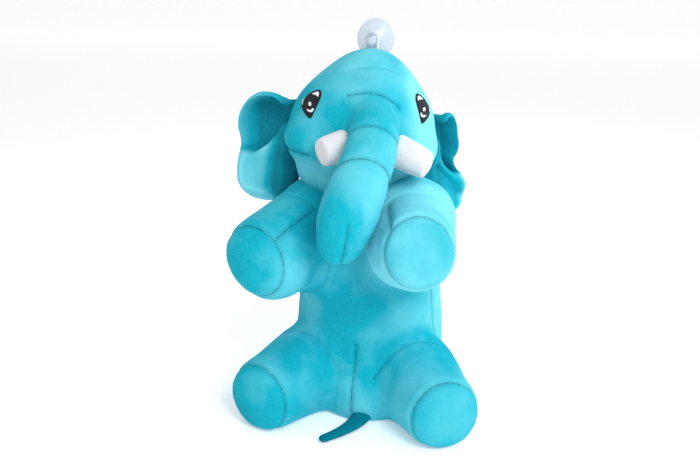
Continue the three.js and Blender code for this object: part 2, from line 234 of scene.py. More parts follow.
def refine(obj, levels=1):
    """Splits every face, for the finer shape that follows."""
    fine = obj.modifiers.new("refine", "SUBSURF")
    fine.levels = fine.render_levels = levels
    settle(obj)
    obj.data.polygons.foreach_set("use_smooth", [True] * len(obj.data.polygons))


def stuff(obj, seams, cap):
    """Blows the cover out with cloth simulation. Seams hold it in, and no point moves past cap."""
    start = coordinates(obj.data)
    held = np.flatnonzero(np.abs(seams) < 3.0 * MM)
    group = obj.vertex_groups.new(name="seams")
    group.add([int(k) for k in held], 1.0, "REPLACE")
    cloth = obj.modifiers.new("stuffing", "CLOTH")
    cloth.settings.vertex_group_mass = "seams"
    cloth.settings.use_pressure = True
    cloth.settings.uniform_pressure_force = STUFFING_PRESSURE
    cloth.settings.effector_weights.gravity = 0
    cloth.settings.tension_stiffness = cloth.settings.compression_stiffness = 12
    cloth.settings.bending_stiffness = 0.4
    cloth.settings.quality = 4
    cloth.collision_settings.use_collision = False
    for step in range(1, STUFFING_FRAMES + 1):
        scene.frame_set(step)
    graph = bpy.context.evaluated_depsgraph_get()
    blown = coordinates(obj.evaluated_get(graph).data)
    scene.frame_set(1)
    obj.modifiers.clear()
    obj.vertex_groups.clear()
    move = blown - start
    size = np.linalg.norm(move, axis=1, keepdims=True)
    move *= np.tanh(size / (cap * MM)) * cap * MM / np.maximum(size, 1e-9)
    obj.data.vertices.foreach_set("co", (start + move).ravel())
    obj.data.update()
    print(obj.name, "stuffed: moved", round(float(np.linalg.norm(move, axis=1).mean() / MM), 2), "mm")


def ease(values, low, high):
    """0 below low, 1 above high, and a smooth rise between them."""
    t = np.clip((values - low) / (high - low), 0, 1)
    return t * t * (3 - 2 * t)


def smooth_outline(corners, count=48):
    """A closed Catmull-Rom curve through the corners."""
    points = [Vector((*c, 0)) for c in corners]
    n = len(points)
    found = []
    for k in range(count):
        at = k * n / count
        i, t = int(at), at - int(at)
        a, b, c, d = (points[(i + j - 1) % n] for j in range(4))
        found.append(0.5 * ((2 * b) + (c - a) * t + (2 * a - 5 * b + 4 * c - d) * t * t
                            + (3 * b - a - 3 * c + d) * t ** 3))
    return [(p.x, p.y) for p in found]


def attribute(obj, name, values):
    """Keeps a number for each vertex, for the materials to read."""
    layer = obj.data.attributes.get(name) or obj.data.attributes.new(name, "FLOAT", "POINT")
    layer.data.foreach_set("value", np.asarray(values, np.float32))


def mark(obj, ring, run, pale):
    """Keeps a piece's distances to its seams and how pale it is, from its nap and from painted highlights and
    painted shade.
    """
    count = len(obj.data.vertices)
    for name, values in (("ring", ring), ("run", run), ("pale", pale)):
        attribute(obj, name, np.broadcast_to(values, count))


def push(obj, amounts):
    """Moves each vertex along its normal."""
    moved = coordinates(obj.data) + normals(obj.data) * np.asarray(amounts)[:, None]
    obj.data.vertices.foreach_set("co", moved.ravel())
    obj.data.update()


def ripple(points, size, seed):
    """Smooth random numbers from -1 to 1, one for each point, with bumps of that size in mm."""
    shift = Vector((seed * 7.3, seed * 3.1, seed * 5.7))
    return np.array([noise.noise(Vector(p) / (size * MM) + shift) for p in points])


def sew(obj, fields, depth=1.5, width=2.6, pucker=0.45, seed=1):
    """Draws the cover in along its seams, with small puckers that run away from the thread."""
    points = coordinates(obj.data)
    nearest = np.min(np.abs(np.array(fields)), axis=0)
    valley = np.exp(-((nearest / (width * MM)) ** 2))
    folds = ripple(points, 7, seed) * np.exp(-nearest / (7 * MM))
    push(obj, (-depth * valley + pucker * folds * (1 - 0.5 * valley)) * MM)


# %% [markdown]
# ## Torso and legs
# Five stuffed tubes meet in one body. Their lumps are kneaded together, so that the belly runs
# softly into each leg, and the cover is then blown out by cloth simulation while the seams hold it
# in. A leg is cut off along the seam round its root.

# %% Body measures
LEG_NAMES = ("foreleg_left", "foreleg_right", "hindleg_left", "hindleg_right")
LEG_JOINTS = {n: n + ("_swing" if n.startswith("fore") else "_spread") for n in LEG_NAMES}
ROOT_SEAM = {"fore": 25, "hind": 25}        # from the leg's pivot, in millimetres along the leg
PAD_SEAM = {"fore": 73, "hind": 75}
LEG_PROFILE = {
    "fore": [(0, -26), (22, -22), (32, -8), (34, 8), (33, 22), (30.5, 40), (29, 58), (27, 71), (26, 76),
             (20, 80), (12, 82), (0, 82.5)],
    "hind": [(0, -20), (22, -17), (33, -4), (36, 10), (35.5, 22), (32.5, 36), (29.5, 52), (28, 66),
             (27.5, 74), (26, 79), (19, 83), (0, 85)],
}
TORSO_PROFILE = [(0, -4), (40, -4), (51, 3), (57, 20), (58.5, 42), (57.5, 66), (55.5, 92), (50, 118),
                 (43, 142), (37, 158), (30, 168), (0, 170)]
EGG = 0.9                                   # the body's depth as a share of its width
LEG_REACH = {"fore": 54, "hind": 38}        # how far from its own line a leg's skin may be
ARM_SEAM = 19 * MM                          # how far inwards the long seam of a foreleg is
SIDE_SEAM = 70                              # round the body from its front, in degrees
BELLY_SEAM_TOP = 56 * MM                    # the seam up the middle of the belly ends here
FAR = 60 * MM                               # a distance that no seam shows at
BODY_LUMPS = [                              # piece, middle and half sizes
    ("foreleg_left", (0, 10, -2), (34, 32, 36)),
    ("foreleg_left", (0, -7, 4), (33, 31, 36)),
    ("foreleg_left", (0, -4, 48), (28, 28, 33)),
    ("foreleg_right", (0, 6, -4), (33, 32, 33)),
    ("foreleg_right", (0, -16, 8), (33, 33, 38)),
    ("foreleg_right", (0, -8, 50), (29, 29, 34)),
    ("foreleg_left", (7, -3, 44), (27, 28, 30)),
    ("torso", (0, 4, 150), (40, 34, 22)),
    ("torso", (5, -20, 14), (42, 50, 41)),
]
LEG_SLIMNESS = {"foreleg_left": 0.92}


def kind(name):
    return name[:4]


def leg_frame(name):
    """The pivot, and the leg's own directions: along it, across it and up."""
    start = pivot(LEG_JOINTS[name])
    along = (middle(name + "_pad") - start).normalized()
    side = along.cross(Vector((0, 0, 1))).normalized()
    return start, along, side, side.cross(along)


def leg_place(name):
    start, along, side, up = leg_frame(name)
    return Matrix.Translation(start) @ Matrix((side, up, along)).transposed().to_4x4()


def in_leg(name, points):
    """Each point's distances across, above and along the leg."""
    start, along, side, up = leg_frame(name)
    return (points - np.array(start)) @ np.array([side, up, along]).T


# %% Body skin


def body_skin():
    bm = bmesh.new()
    torso = Matrix.Translation(AXIS) @ Matrix.Diagonal((1, EGG, 1, 1))
    turned(bm, TORSO_PROFILE, torso, 40)
    for name in LEG_NAMES:
        slim = Matrix.Diagonal((LEG_SLIMNESS.get(name, 1.0), 1, 1, 1))
        turned(bm, LEG_PROFILE[kind(name)], leg_place(name) @ slim)
    for name, centre, half in BODY_LUMPS:
        lump(bm, centre, half, Matrix.Translation(AXIS) if name == "torso" else leg_place(name))
    bmesh.ops.recalc_face_normals(bm, faces=bm.faces)
    return piece("body_skin", bm)


def body_seams(points):
    """Distances to the rings round the legs and to the long seams, negative on one side of each."""
    rings, runs = np.full(len(points), FAR), np.full(len(points), FAR)
    leg = np.zeros(len(points), bool)
    for name in LEG_NAMES:
        side, up, along = in_leg(name, points).T
        own = (np.hypot(side, up) < LEG_REACH[kind(name)] * MM) & (along > -6 * MM)
        from_root = along - ROOT_SEAM[kind(name)] * MM
        to_pad = PAD_SEAM[kind(name)] * MM - along
        root = np.abs(from_root) + 1.0 * MM     # this seam is sunk in the pile and shows no thread
        rings[own] = np.where(np.abs(from_root) < to_pad, root, to_pad)[own]
        tube = own & (from_root > 0)
        inner = -ARM_SEAM if name.endswith("right") else ARM_SEAM
        shown = (to_pad > 0) & (up > 0) & (kind(name) == "fore")
        runs[tube] = np.where(shown, side - inner, FAR)[tube]
        leg |= tube
    x, y = points[:, 0] - AXIS.x, points[:, 1] - AXIS.y
    turn = np.abs(np.degrees(np.arctan2(x, -y / EGG)))
    side_seam = np.radians(turn - SIDE_SEAM) * np.hypot(x, y)
    torso = ~leg & (points[:, 2] > 5 * MM)
    belly_seam = np.where(points[:, 2] < BELLY_SEAM_TOP, x, FAR)
    long_seam = np.where(turn < SIDE_SEAM / 2, belly_seam, side_seam)
    long_seam = np.where(turn > (SIDE_SEAM + 180) / 2, x, long_seam)
    runs[torso] = long_seam[torso]
    return rings, runs


body = body_skin()
knead(body, 3.6, 7)
print("body skin", len(body.data.polygons), "faces")
stuff(body, np.min(np.abs(body_seams(coordinates(body.data))), axis=0), 3.0)
refine(body)

# %% [markdown]
# The toy sits, so its rump and the undersides of its hind legs are pressed flat on the table. The
# seams are drawn in last, because a remesh would have erased them.

# %% Body seams
PRESSED_EDGE = 5 * MM                       # how softly the pressing sets in


def press_on_table(obj):
    """Flattens what would sink into the table, with a rounded edge."""
    points = coordinates(obj.data)
    width = PRESSED_EDGE
    low = points[:, 2]
    t = np.clip((low + width) / (2 * width), 0, 1)
    points[:, 2] = np.where(low < width, width * t * t, low) + 0.2 * MM
    obj.data.vertices.foreach_set("co", points.ravel())
    obj.data.update()


rings, runs = body_seams(coordinates(body.data))
sew(body, [rings, runs])


# Painted light and shade on the legs: the lit left foreleg gets a painted highlight over its pale nap, and
# the hind pads, below zero, are painted darker as shade.
LEG_NAP_LIGHT_AND_SHADE = {                                 # how pale each leg is at its root, its end and its pad
    "foreleg_left": (1.05, 0.9, 0.45), "foreleg_right": (0.05, 0.15, 0.05),
    "hindleg_left": (0.0, 0.2, -0.05), "hindleg_right": (0.2, 0.2, -0.1),
}


def body_nap_light_and_shade(points):
    """How pale the cover is: random nap clouds, a painted sheen down the back of the right flank, the left
    foreleg paler from nap brushed up and a painted highlight, the other legs' nap mostly brushed down, and a
    little painted shade on the hind pads.
    """
    pale = 0.2 + 0.1 * ripple(points, 45, 2)
    x, y = points[:, 0] / MM - AXIS.x / MM, points[:, 1] / MM
    # Painted sheen: the back of the right flank is painted paler, where the light grazes it.
    pale += 0.6 * ease(x, 30, 48) * ease(y, -10, 20)
    for name, (root, tip, pad) in LEG_NAP_LIGHT_AND_SHADE.items():
        side, up, along = in_leg(name, points).T
        reach = np.hypot(side, up)
        own = ease(along, 4 * MM, 22 * MM) * (1 - ease(reach, 38 * MM, 46 * MM))
        shell = root + (tip - root) * ease(along, 25 * MM, 60 * MM)
        leg_pale = np.where(along > PAD_SEAM[kind(name)] * MM, pad, shell)
        pale = pale * (1 - own) + leg_pale * own
    return pale


mark(body, rings, runs, body_nap_light_and_shade(coordinates(body.data)))
press_on_table(body)

# %% Legs cut off along their root seams


def closed_part(source, number, name):
    """A closed copy of the faces that carry that number, with a crisp rim where it was cut."""
    bm = source.copy()
    owner = bm.faces.layers.int["owner"]
    bmesh.ops.delete(bm, geom=[f for f in bm.faces if f[owner] != number], context="FACES")
    rim = [e for e in bm.edges if e.is_boundary]
    for edge in rim:
        edge.smooth = False
    bmesh.ops.holes_fill(bm, edges=rim, sides=0)
    bmesh.ops.triangulate(bm, faces=[f for f in bm.faces if len(f.verts) > 4])
    bmesh.ops.recalc_face_normals(bm, faces=bm.faces)
    made = piece(name, bm)
    print(name, len(made.data.polygons), "faces")
    return made


def part_at(obj, cuts, rest_name):
    """Cuts an object at several planes, each given as name: (point, direction, reach)."""
    bm = bmesh.new()
    bm.from_mesh(obj.data)
    owner = bm.faces.layers.int.new("owner")
    for number, (name, (at, along, reach)) in enumerate(cuts.items(), 1):

        def beside(co, at=at, along=along):
            away = co - at
            return (away - along * away.dot(along)).length

        near = [f for f in bm.faces if abs((f.calc_center_median() - at).dot(along)) < 6 * MM
                and beside(f.calc_center_median()) < reach]
        around = set(near) | {e for f in near for e in f.edges} | {v for f in near for v in f.verts}
        bmesh.ops.bisect_plane(bm, geom=list(around), plane_co=at, plane_no=along, dist=1e-6)
        for f in bm.faces:
            centre = f.calc_center_median()
            if (centre - at).dot(along) > 0 and beside(centre) < reach:
                f[owner] = number
    made = {rest_name: closed_part(bm, 0, rest_name)}
    for number, name in enumerate(cuts, 1):
        made[name] = closed_part(bm, number, name)
    bm.free()
    bpy.data.objects.remove(obj)
    return made


leg_cuts = {}
for name in LEG_NAMES:
    start, along, *_ = leg_frame(name)
    cut = start + along * ROOT_SEAM[kind(name)] * MM
    leg_cuts[name + "_plush"] = (cut, along, LEG_REACH[kind(name)] * MM)
body_parts = part_at(body, leg_cuts, "torso_plush")

# %% [markdown]
# ## Head and trunk
# The head is one round bag with full cheeks, and the trunk grows out of its forehead. They are
# kneaded together as the body was, and the trunk is cut off along its second cross seam.

# %% Head measures
NECK = pivot("neck_nod")
HEAD_TURN, HEAD_ROLL = math.radians(18), math.radians(7)
HEAD_PLACE = Matrix.Translation(NECK) @ Matrix.Rotation(HEAD_TURN, 4, "Z")
HEAD_PLACE = HEAD_PLACE @ Matrix.Rotation(HEAD_ROLL, 4, "Y")
SKULL = Vector((0, -3, 44)) * MM
SKULL_HALF = (54, 55, 48)
HEIGHTS = [-30, 10, 24, 37, 49, 62, 74, 90]  # the head narrows towards its crown
WIDTHS = [1.02, 1.05, 1.05, 1.02, 0.96, 0.87, 0.77, 0.7]
TRUNK_ROOT = Vector((-2, -45, 46))
TRUNK_LINE = [(2, 6, 1), (2, 2, 1), (1.4, -13, -3), (-0.6, -26, -12), (-3.8, -38, -23), (-8, -45, -35),
              (-11, -49, -46), (-13.6, -50, -56), (-15.5, -50, -66), (-16.6, -48, -76)]
TRUNK_RADII = [17.6, 17.6, 17.8, 18, 18.4, 19.2, 20.2, 20.6, 19.4, 16.6]
TRUNK_AIM = Vector((-0.154, -0.772, -0.617)).normalized()
TRUNK_CUT = 27                              # from the trunk's pivot to the seam where it is cut
TRUNK_REACH = 54 * MM                       # how far from the axis of that cut its hanging tip may be
LEAN = -4.5                                 # how far the chin stands to the side of the crown


def tube(bm, line, radii, place, sides=28):
    """Rings along a line, bridged into a tube."""
    points = [Vector(p) * MM for p in line]
    before = None
    for k, (point, radius) in enumerate(zip(points, radii)):
        ahead = points[min(k + 1, len(points) - 1)] - points[max(k - 1, 0)]
        turn = ahead.to_track_quat("Z", "Y").to_matrix().to_4x4()
        ends = k in (0, len(points) - 1)
        ring = bmesh.ops.create_circle(
            bm, cap_ends=ends, segments=sides, radius=radius * MM,
            matrix=place @ Matrix.Translation(point) @ turn,
        )["verts"]
        edges = {e for v in ring for e in v.link_edges if e.other_vert(v) in ring}
        if before:
            bmesh.ops.bridge_loops(bm, edges=list(before | edges))
        before = edges


def head_skin():
    bm = bmesh.new()
    lump(bm, (0, -3, 44), SKULL_HALF, HEAD_PLACE)
    for side in (-1, 1):
        lump(bm, (side * 24, -16, 26), (31, 32, 25), HEAD_PLACE)
    lump(bm, (0, -9, 3), (43, 36, 29), HEAD_PLACE)
    lump(bm, (0, -40, 60), (24, 18, 18), HEAD_PLACE)
    back = HEAD_PLACE.inverted()
    for v in bm.verts:
        local = back @ v.co
        height = local.z / MM
        wide = float(np.interp(height, HEIGHTS, WIDTHS))
        lean = LEAN * (1 - height / HEIGHTS[-1]) * MM
        deep = 1 - 0.35 * (1 - min(wide, 1))
        v.co = HEAD_PLACE @ Vector((local.x * wide + lean, local.y * deep, local.z))
    trunk = HEAD_PLACE @ Matrix.Translation(TRUNK_ROOT * MM)
    tube(bm, TRUNK_LINE, TRUNK_RADII, trunk)
    tip = Vector(TRUNK_LINE[-1])
    lump(bm, tip + Vector((0, 1, -1)), (16, 16, 16), trunk)
    bmesh.ops.recalc_face_normals(bm, faces=bm.faces)
    return piece("head_skin", bm)


def in_head(points):
    """Each point in the head's own directions: to its left, back and up."""
    turn = np.array(HEAD_PLACE.to_3x3())
    return (points - np.array(NECK)) @ turn


CROSS_SEAMS = (-5, 27, 54)                  # along the trunk, from its pivot
FOREHEAD_SEAM = 50                          # how far up the brow the faint seam is, in degrees
CHIN_SEAM = 15 * MM
NAPE_SEAM = 24 * MM


def head_seams(points):
    """Distances to the seams round the trunk and brow, and to those between cheek, chin and nape."""
    local = in_head(points)
    from_trunk = local - np.array(TRUNK_ROOT) * MM
    along = from_trunk @ np.array(TRUNK_AIM)
    x, y, z = local.T
    trunk = along > 22 * MM
    rings, runs = np.full(len(points), FAR), np.full(len(points), FAR)
    brow = (np.abs(x + 3 * MM) < 19 * MM) & (z > 30 * MM) & (y < 0)
    up = np.degrees(np.arctan2(z - SKULL.z, -(y - SKULL.y)))
    rings[brow] = (np.abs(np.radians(up - FOREHEAD_SEAM)) * 50 * MM + 1.0 * MM)[brow]
    for at in CROSS_SEAMS:
        near = np.abs(along - at * MM) < 11 * MM
        top = near & (trunk | brow) & (from_trunk[:, 2] > -8 * MM - 0.8 * np.maximum(along, 0))
        rings[top] = (along - at * MM)[top]
    tip = trunk & (along > 91 * MM)
    runs[tip] = (x - (TRUNK_ROOT.x - 15) * MM)[tip]
    bag = ~trunk
    lower = bag & (y < NAPE_SEAM)
    runs[lower] = (z - CHIN_SEAM)[lower]
    behind = bag & (z > CHIN_SEAM) & (np.abs(y - NAPE_SEAM) < 12 * MM)
    runs[behind] = (y - NAPE_SEAM)[behind]
    return rings, runs


head_bag = head_skin()
knead(head_bag, 3.6, 7)
stuff(head_bag, np.min(np.abs(head_seams(coordinates(head_bag.data))), axis=0), 2.5)
refine(head_bag, 2)
rings, runs = head_seams(coordinates(head_bag.data))
sew(head_bag, [rings, runs], depth=1.1, width=2.4, pucker=0.35, seed=3)


def head_nap_and_painted_light(points):
    """The brow and chin are pale, the left cheek is pale from a painted highlight, and the right cheek is
    not.
    """
    x, y, z = in_head(points).T / MM
    trunk = ease(-y, 62, 72)
    # Painted highlight: the lit left cheek is painted paler.
    pale = 0.05 + 0.5 * ease(z, 46, 76) + 1.0 * ease(x, 14, 34) * ease(-y, -10, 20)
    pale += 0.4 * (1 - ease(z, 8, 16)) * ease(-y, 0, 20)
    return pale * (1 - trunk) + (0.14 + 0.12 * ripple(points, 26, 9)) * trunk


mark(head_bag, rings, runs, head_nap_and_painted_light(coordinates(head_bag.data)))
trunk_turn = HEAD_PLACE.to_3x3()
trunk_aim = (trunk_turn @ TRUNK_AIM).normalized()
trunk_cut = pivot("trunk_swing") + trunk_aim * TRUNK_CUT * MM
beside_cut = trunk_cut + trunk_turn @ Vector((-3, 0, 0)) * MM
head_parts = part_at(head_bag, {"trunk_plush": (beside_cut, trunk_aim, TRUNK_REACH)}, "head_plush")

# %% [markdown]
# ## Ears
# An ear is a pillow of two plush pieces, blown up and then bent. Its top rim rolls forward over a
# deep pocket, and below the pocket a full lobe stands forward like a pouch.

# %% Ear outline
EAR_OUTLINE = [(-6, 44), (3, 55), (14, 61), (27, 60), (38, 53), (44, 42), (45, 28), (43.5, 16), (45, 4),
               (46, -8), (43, -20), (34, -28), (20, -30), (8, -27), (-6, -22)]
EAR_RIM = smooth_outline(EAR_OUTLINE, 72)
LOBE_EDGE = [(-6, 39), (7, 35), (11, 27), (18, 17), (28, 9), (41, 6), (48, 6)]
EAR_HALF = 3                                # half the thickness of the flat pillow
EAR_ROOT = (51, 11, -6)                     # in the head's own directions, for the left ear
EAR_SWEEP = 30                              # how far back the ears stand, in degrees
DENT = Vector((27, -22))                    # which way the dent runs from its start
DENT_START = Vector((8, 12))


def inside_rim(points):
    """How far inside the ear's outline each point is."""
    rim = np.array(EAR_RIM) * MM
    found = np.full(len(points), FAR)
    flat = points[:, [0, 2]]
    for a, b in zip(rim, np.roll(rim, -1, axis=0)):
        along = np.clip(((flat - a) @ (b - a)) / ((b - a) @ (b - a)), 0, 1)
        found = np.minimum(found, np.linalg.norm(flat - (a + along[:, None] * (b - a)), axis=1))
    return found


def above_lobe(points):
    """How far above the lobe's upper edge each point is."""
    u, v = points[:, 0] / MM, points[:, 2] / MM
    edge_u, edge_v = np.array(LOBE_EDGE).T
    slope = (np.interp(u + 1, edge_u, edge_v) - np.interp(u - 1, edge_u, edge_v)) / 2
    return (v - np.interp(u, edge_u, edge_v)) / np.sqrt(1 + slope**2)


# %% Ear pillow


def flat_pillow(name):
    bm = bmesh.new()
    bm.faces.new([bm.verts.new((u * MM, 0, v * MM)) for u, v in EAR_RIM])
    bmesh.ops.triangulate(bm, faces=bm.faces[:])
    thick = bmesh.ops.extrude_face_region(bm, geom=bm.faces[:])
    moved = [v for v in thick["geom"] if isinstance(v, bmesh.types.BMVert)]
    bmesh.ops.translate(bm, verts=moved, vec=(0, 2 * EAR_HALF * MM, 0))
    bmesh.ops.translate(bm, verts=bm.verts, vec=(0, -EAR_HALF * MM, 0))
    bmesh.ops.recalc_face_normals(bm, faces=bm.faces)
    made = piece(name, bm)
    knead(made, 2.2, 4)
    return made


def bend_ear(points, front, left):
    """Rolls the rim over, sinks the pocket and raises the lobe."""
    u, w, v = points.T / MM
    rim, above = inside_rim(points) / MM, above_lobe(points)
    upper = ease(v, 3, 16) * ease(u, -2, 8)
    roll = (1 - ease(rim, 2, 12)) * upper
    lobe = 1 - ease(above, -1.2, 1.4)
    half = 2.8 + 4 * lobe * np.sqrt(np.clip(-above / 6, 0, 1)) + 3.4 * roll
    half = half * np.sqrt(np.clip(rim / 9, 0.02, 1)) + 1.2
    side = np.clip(w / 2.6, -1, 1) * front
    sunk = (4 * lobe - 8.5 * (1 - lobe)) * ease(rim, 1, 9)
    middle_shift = sunk * (1 - roll) + 9.5 * roll * ease(v, 8, 36)
    if left:
        from_u, from_v = u - DENT_START.x, v - DENT_START.y
        along = np.clip((from_u * DENT.x + from_v * DENT.y) / (DENT.x**2 + DENT.y**2), 0, 1)
        away = np.hypot(from_u - DENT.x * along, from_v - DENT.y * along)
        middle_shift -= 6 * np.exp(-((away / 4.2) ** 2))
        u = u * (1 - 0.1 * ease(u, 10, 40)) * (1 - 0.42 * ease(v, 0, 22)) * (1 - 0.22 * ease(v, 22, 44))
    else:
        middle_shift -= 2 * np.exp(-(((u - 12) / 3.5) ** 2)) * lobe * ease(-v, -14, -2)
    forward = middle_shift + half * side + 3 * ease(u, 10, 44)
    u2 = u - 3 * roll * ease(u, 22, 44) * ease(v, 16, 40)
    v2 = v - 4.5 * roll * ease(v, 28, 56)
    return np.stack([u2, forward * front, v2], axis=1) * MM


def ear_pillow(side):
    sign, front = (1, -1) if side == "left" else (-1, 1)
    made = flat_pillow("ear_" + side + "_plush")
    stuff(made, inside_rim(coordinates(made.data)), 1.2)
    refine(made, 2)
    flat = coordinates(made.data)
    seam, rim = flat[:, 1], inside_rim(flat)
    lobe = 1 - ease(above_lobe(flat), -1, 1)
    bent = bend_ear(flat, front, side == "left")
    turn = math.radians(EAR_SWEEP if sign > 0 else 180 - EAR_SWEEP)
    root = Vector((sign * EAR_ROOT[0], *EAR_ROOT[1:])) * MM
    place = HEAD_PLACE @ Matrix.Translation(root) @ Matrix.Rotation(turn, 4, "Z")
    placed = bent @ np.array(place.to_3x3()).T + np.array(place.translation)
    made.data.vertices.foreach_set("co", placed.ravel())
    made.data.update()
    push(made, ripple(placed, 18, 8 + sign) * 0.4 * MM)
    facing = np.clip(seam / (2.6 * MM), -1, 1) * front
    # Painted shade and light: the ear is painted darker apart from a band along its rim, for the shade in its
    # pocket, and the front of its lobe is painted paler where the light falls on it.
    paleness = {"left": 0.85, "right": 1.5}[side]
    pale = -0.8 + 1.0 * ease(-rim / MM, -14, -5) * ease(flat[:, 0] / MM, 2, 14)
    pale += paleness * lobe * ease(facing, -0.4, 0.4) * ease(flat[:, 0] / MM, 6, 20)
    mark(made, np.where((flat[:, 0] < 0) | (rim > 5 * MM), FAR, np.abs(seam) + 0.5 * MM), FAR, pale)
    return made


ears = {side: ear_pillow(side) for side in ("left", "right")}
print("ears", [len(ear.data.polygons) for ear in ears.values()], "faces")

# %% [markdown]
# ## Tusks, tail, cup and loop
# The tusks are short stuffed cones of white plush. The tail is a thin tapered tube. The suction cup
# is clear and soft, with a knob behind it, and a loop of white thread holds it by the knob.

# %% Tusks
TUSK_PROFILE = [(0, -12), (10.5, -11.5), (11.8, -8), (11.9, 0), (11.3, 8), (10.6, 15), (10.0, 20),
                (9.7, 21.6), (9.2, 22.6), (7.6, 23.4), (4, 24), (0, 24.2)]
TUSK_LENGTH = {"left": 1.0, "right": 0.8}
TUSK_AT, TUSK_AIM = (19, -53, 27), (16, -8, -5)


def tusk(side):
    sign = 1 if side == "left" else -1
    at, aim = (Vector((sign * x, y, z)) for x, y, z in (TUSK_AT, TUSK_AIM))
    bm = bmesh.new()
    turn = aim.normalized().to_track_quat("Z", "Y").to_matrix().to_4x4()
    place = HEAD_PLACE @ Matrix.Translation(at * MM) @ turn
    turned(bm, [(r, h * TUSK_LENGTH[side]) for r, h in TUSK_PROFILE], place, 24)
    bmesh.ops.recalc_face_normals(bm, faces=bm.faces)
    made = piece("tusk_" + side + "_plush", bm)
    refine(made, 2)
    push(made, ripple(coordinates(made.data), 9, 5 + sign) * 0.5 * MM)
    mark(made, FAR, FAR, 0.4)
    return made


tusks = {side: tusk(side) for side in ("left", "right")}

# %% Tail
TAIL_LINE = [(-2, 16, -2.7), (-4, 0, -2.7), (-4.6, -10, -2.7), (-5, -19, -3.2), (-7, -28, -4.2),
             (-11, -36, -5.2), (-15.6, -43, -6), (-20.6, -49, -6.4), (-25.5, -54, -7)]
TAIL_RADII = [8.5, 8.5, 8.5, 8, 7, 6, 5.2, 4.8, 4.2]
TAIL_FLATNESS = 0.6                         # its height as a share of its width


def tail_tube():
    bm = bmesh.new()
    place = Matrix.Translation(pivot("tail_sweep")) @ Matrix.Diagonal((1, 1, TAIL_FLATNESS, 1))
    tube(bm, TAIL_LINE, TAIL_RADII, place, 20)
    lump(bm, TAIL_LINE[-1], (4.8, 4.8, 4.6), place)
    bmesh.ops.recalc_face_normals(bm, faces=bm.faces)
    made = piece("tail_plush", bm)
    knead(made, 1.5, 6)
    points = coordinates(made.data)
    points[:, 2] = np.maximum(points[:, 2], 0.3 * MM)
    made.data.vertices.foreach_set("co", points.ravel())
    made.data.update()
    refine(made)
    mark(made, FAR, FAR, 0.4)
    return made


tail = tail_tube()

# %% Suction cup
CUP_AT = pivot("cup_tilt") + Vector((1.5, 0, -3)) * MM
CUP_PROFILE = [(0, -6), (4, -5.7), (7.5, -4.3), (10.6, -2.3), (13.2, -0.5), (14.6, 0.1), (15.5, -0.1),
               (15.6, -0.8), (14.2, -2), (11, -4.6), (8, -6.6), (5, -8), (3, -8.6), (2.5, -9.4), (2.4, -13),
               (3.4, -13.6), (5.4, -13.8), (5.6, -14.6), (5.2, -16), (3.4, -17), (0, -17.2)]
CUP_OVAL = Matrix.Diagonal((0.9, 1, 1, 1))  # drawn a little narrower than it is tall


def suction_cup():
    bm = bmesh.new()
    facing_back = Matrix.Rotation(math.radians(-90), 4, "X")
    turned(bm, CUP_PROFILE, Matrix.Translation(CUP_AT) @ CUP_OVAL @ facing_back, 40)
    bmesh.ops.recalc_face_normals(bm, faces=bm.faces)
    made = piece("suction_cup_clear", bm)
    refine(made)
    return made


cup = suction_cup()

# %% Loop
LOOP_LINE = [(-4.6, -19), (-4.2, -13), (-3.9, -7), (-3.8, -1), (-3.3, 2), (-1.8, 3.9), (0, 4.4), (1.8, 3.9),
             (3.3, 2), (3.8, -1), (3.9, -7), (4.2, -13), (4.6, -19)]
LOOP_DEPTH = -11                            # the loop and its tie sit here on the knob's neck
LOOP_THREAD = 0.95                          # half the thread's thickness


def loop_thread():
    bm = bmesh.new()
    line = [(x, LOOP_DEPTH, z) for x, z in LOOP_LINE]
    tube(bm, line, [LOOP_THREAD] * len(line), Matrix.Translation(CUP_AT), 10)
    bmesh.ops.recalc_face_normals(bm, faces=bm.faces)
    made = piece("hanging_loop_thread", bm)
    refine(made, 2)
    return made


def loop_wrap():
    """Two turns of the same thread, tied round the knob's neck."""
    bm = bmesh.new()
    for turn_at in (-1.1, 1.1):
        ring = bmesh.ops.create_circle(
            bm, segments=10, radius=LOOP_THREAD * MM, matrix=Matrix.Translation((3.6 * MM, turn_at * MM, 0))
        )["verts"]
        edges = list({e for v in ring for e in v.link_edges})
        bmesh.ops.spin(
            bm, geom=ring + edges, cent=(0, turn_at * MM, 0), axis=(0, 1, 0), angle=2 * math.pi, steps=28,
            use_merge=True
        )
    bmesh.ops.remove_doubles(bm, verts=bm.verts, dist=1e-6)
    neck = Matrix.Translation(CUP_AT + Vector((0, LOOP_DEPTH * MM, 0)))
    bmesh.ops.transform(bm, matrix=neck, verts=bm.verts)
    bmesh.ops.recalc_face_normals(bm, faces=bm.faces)
    return piece("loop_wrap_thread", bm)


loop = loop_thread()
wrap = loop_wrap()
print("made", [o.name for o in (tail, cup, loop)])

# %% [markdown]
# ## Eyes
# Each eye is satin stitch: a dark almond, white crescents and a small white light. The patches are
# thin raised shapes that lie on the curve of the cheek.

# %% Eyes
EYE_AIM = {"left": 57, "right": -61}        # round the head from its front, in degrees
EYE_SHIFT = {"left": (4, 6), "right": (0, 0)}
EYE_LEAN = math.radians(-6)
EYE_HEIGHT = Vector((0, 0, 3 * MM))         # above the middle of the skull
CHEEK = BVHTree.FromObject(head_parts["head_plush"], bpy.context.evaluated_depsgraph_get())


def on_cheek(side, u, v, lift):
    """The point on the cheek's cover at u across and v up from the eye's middle, raised a little."""
    sign = 1 if side == "left" else -1
    turn = HEAD_PLACE @ Matrix.Translation(SKULL + EYE_HEIGHT)
    turn = turn @ Matrix.Rotation(math.radians(EYE_AIM[side]), 4, "Z") @ Matrix.Rotation(EYE_LEAN, 4, "X")
    across = Vector((-sign * (u + EYE_SHIFT[side][0]) * MM, -0.12, (v + EYE_SHIFT[side][1]) * MM))
    origin = turn @ across
    aim = (turn.to_3x3() @ Vector((0, 1, 0))).normalized()
    hit, normal, _, _ = CHEEK.ray_cast(origin, aim)
    return hit + normal * lift * MM


